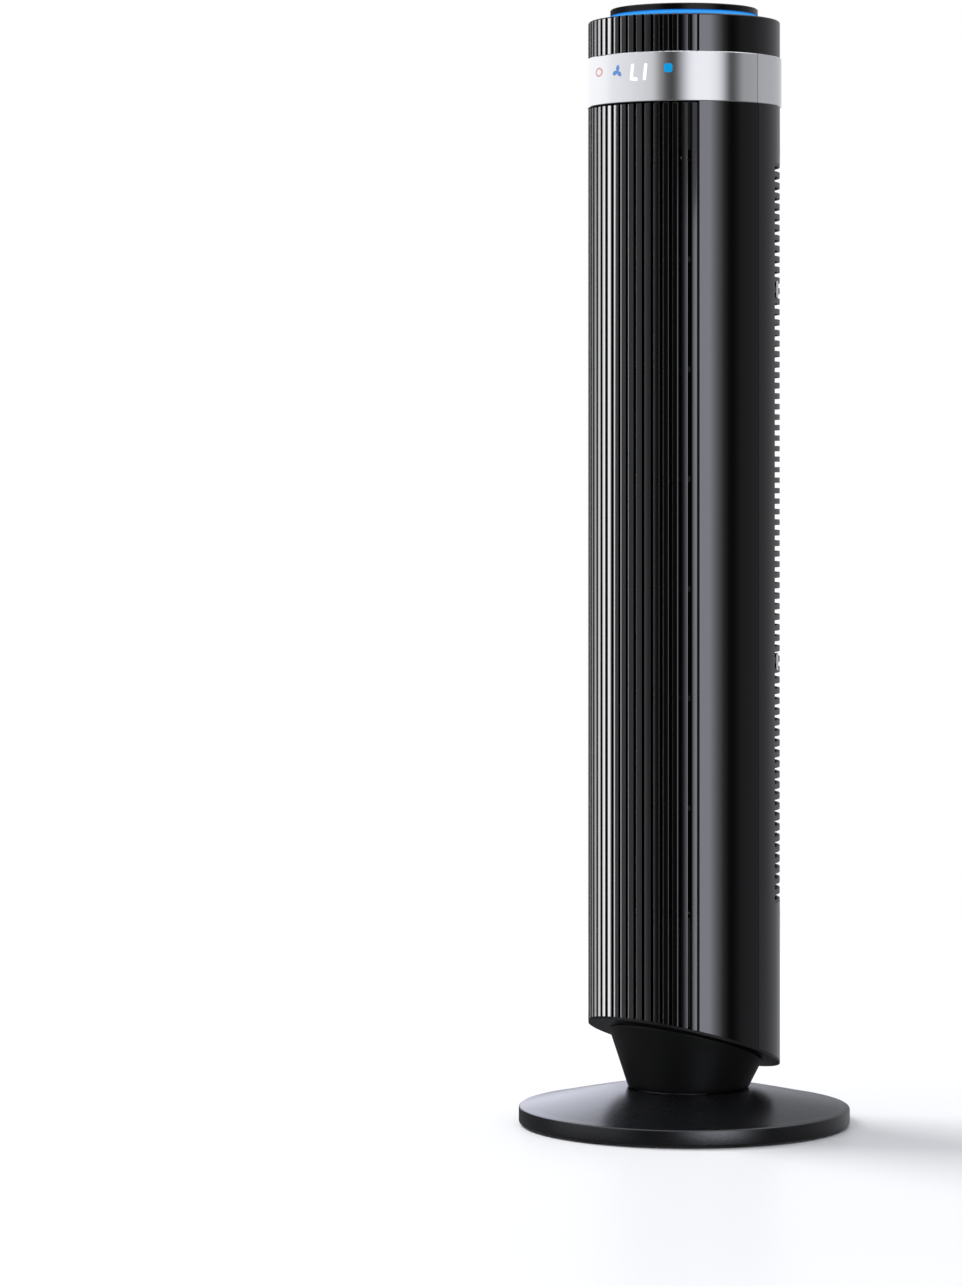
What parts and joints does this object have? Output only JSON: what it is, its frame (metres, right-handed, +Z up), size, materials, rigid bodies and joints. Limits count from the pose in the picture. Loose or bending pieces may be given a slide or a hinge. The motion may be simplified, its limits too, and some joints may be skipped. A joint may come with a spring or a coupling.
{
  "type": "tower fan",
  "caption": "Tall round tower fan that swings on a disc base, with a finned front grille, a slotted rear intake, a silver band with a display, and a lit ring under a control disc.",
  "frame": {"origin": "on the floor under the tower's axis, which is the bottom centre of the bounding box", "axes": "+Z up along the tower, -Y towards the front grille, +X to the right when looking at the front"},
  "size_m": [0.302, 0.302, 1.018],
  "materials": {
    "base_black": "satin moulded black",
    "plate_black": "matt moulded black",
    "weight_iron": "rough cast",
    "foot_rubber": "matt",
    "screw_steel": "zinc plated",
    "screw_black": "blackened",
    "turned_steel": "turned",
    "gear_white": "natural acetal",
    "neck_black": "satin",
    "shell_black": "polished",
    "fin_black": "glossy",
    "grille_black": "satin",
    "band_silver": "satin, brushed round the tower",
    "board_green": "solder mask",
    "digit_white": "lit light guide",
    "sign_red": "lit light guide",
    "sign_blue": "lit light guide",
    "lamp_blue": "lit lens",
    "ring_blue": "lit light guide",
    "duct_black": "matt",
    "motor_grey": "plated",
    "coil_copper": "enamelled",
    "bush_bronze": "sintered",
    "impeller_black": "satin",
    "disc_black": "polished",
    "button_black": "satin"
  },
  "bodies": {
    "base": {"base_shell": "base_black", "base_bottom_plate": "plate_black", "base_weight": "weight_iron", "rubber_feet": "foot_rubber", "base_screws": "screw_steel", "cord_inlet": "foot_rubber", "pivot_post": "turned_steel", "post_screws": "screw_steel", "fixed_gear": "gear_white", "gear_clip": "screw_steel", "lower_race": "turned_steel"},
    "cage": {"ball_cage": "gear_white", "bearing_balls": "turned_steel"},
    "tower": {"upper_race": "turned_steel", "swivel_plate": "plate_black", "neck_shell": "neck_black", "neck_screws": "screw_steel", "swing_motor": "motor_grey", "swing_motor_bracket": "turned_steel", "swing_motor_screws": "screw_steel", "bottom_cover": "neck_black", "front_shell": "shell_black", "front_grille": "fin_black", "rear_shell": "shell_black", "rear_grille": "grille_black", "grille_screws": "screw_black", "shell_screws": "screw_black", "band_front": "band_silver", "band_rear": "band_silver", "display_board": "board_green", "digit_lights": "digit_white", "ring_sign": "sign_red", "fan_sign": "sign_blue", "signal_lamp": "lamp_blue", "scroll_wall": "duct_black", "vortex_tongue": "duct_black", "duct_bottom_plate": "duct_black", "duct_top_plate": "duct_black", "motor_case": "motor_grey", "motor_stator": "coil_copper", "motor_bearings": "bush_bronze", "motor_cushions": "foot_rubber", "motor_screws": "screw_steel", "top_bearing": "foot_rubber", "main_board": "board_green", "board_screws": "screw_steel", "top_cap": "fin_black", "light_ring": "ring_blue", "control_disc": "disc_black", "button_board": "board_green"},
    "impeller": {"impeller": "impeller_black", "impeller_shafts": "turned_steel", "motor_rotor": "turned_steel"},
    "pinion": {"swing_pinion": "gear_white"},
    "button_power": {"button_power": "button_black"},
    "button_speed": {"button_speed": "button_black"},
    "button_swing": {"button_swing": "button_black"},
    "button_timer": {"button_timer": "button_black"},
    "button_mode": {"button_mode": "button_black"}
  },
  "joints": [
    {"name": "oscillation", "type": "hinge", "parent": "base", "child": "tower", "pos_m": [0, 0, 0.034], "axis": [0, 0, 1], "range_deg": [-45, 45]},
    {"name": "cage_turn", "type": "hinge", "parent": "base", "child": "cage", "pos_m": [0, 0, 0.029], "axis": [0, 0, 1], "range_deg": [-23, 23]},
    {"name": "pinion_spin", "type": "hinge", "parent": "tower", "child": "pinion", "pos_m": [0, -0.03012, 0.0445], "axis": [0, 0, 1], "range_deg": [-182, 182]},
    {"name": "impeller_spin", "type": "hinge", "parent": "tower", "child": "impeller", "pos_m": [0, 0, 0.2], "axis": [0, 0, 1], "continuous": true},
    {"name": "power_press", "type": "slide", "parent": "tower", "child": "button_power", "axis": [0, 0, -1], "range_m": [0, 0.0008], "stiffness_N_per_m": 500},
    {"name": "speed_press", "type": "slide", "parent": "tower", "child": "button_speed", "axis": [0, 0, -1], "range_m": [0, 0.0008], "stiffness_N_per_m": 500},
    {"name": "swing_press", "type": "slide", "parent": "tower", "child": "button_swing", "axis": [0, 0, -1], "range_m": [0, 0.0008], "stiffness_N_per_m": 500},
    {"name": "timer_press", "type": "slide", "parent": "tower", "child": "button_timer", "axis": [0, 0, -1], "range_m": [0, 0.0008], "stiffness_N_per_m": 500},
    {"name": "mode_press", "type": "slide", "parent": "tower", "child": "button_mode", "axis": [0, 0, -1], "range_m": [0, 0.0008], "stiffness_N_per_m": 500}
  ],
  "couplings": [
    {"joint": "cage_turn", "follows": "oscillation", "ratio": 0.5},
    {"joint": "pinion_spin", "follows": "oscillation", "ratio": 4}
  ]
}
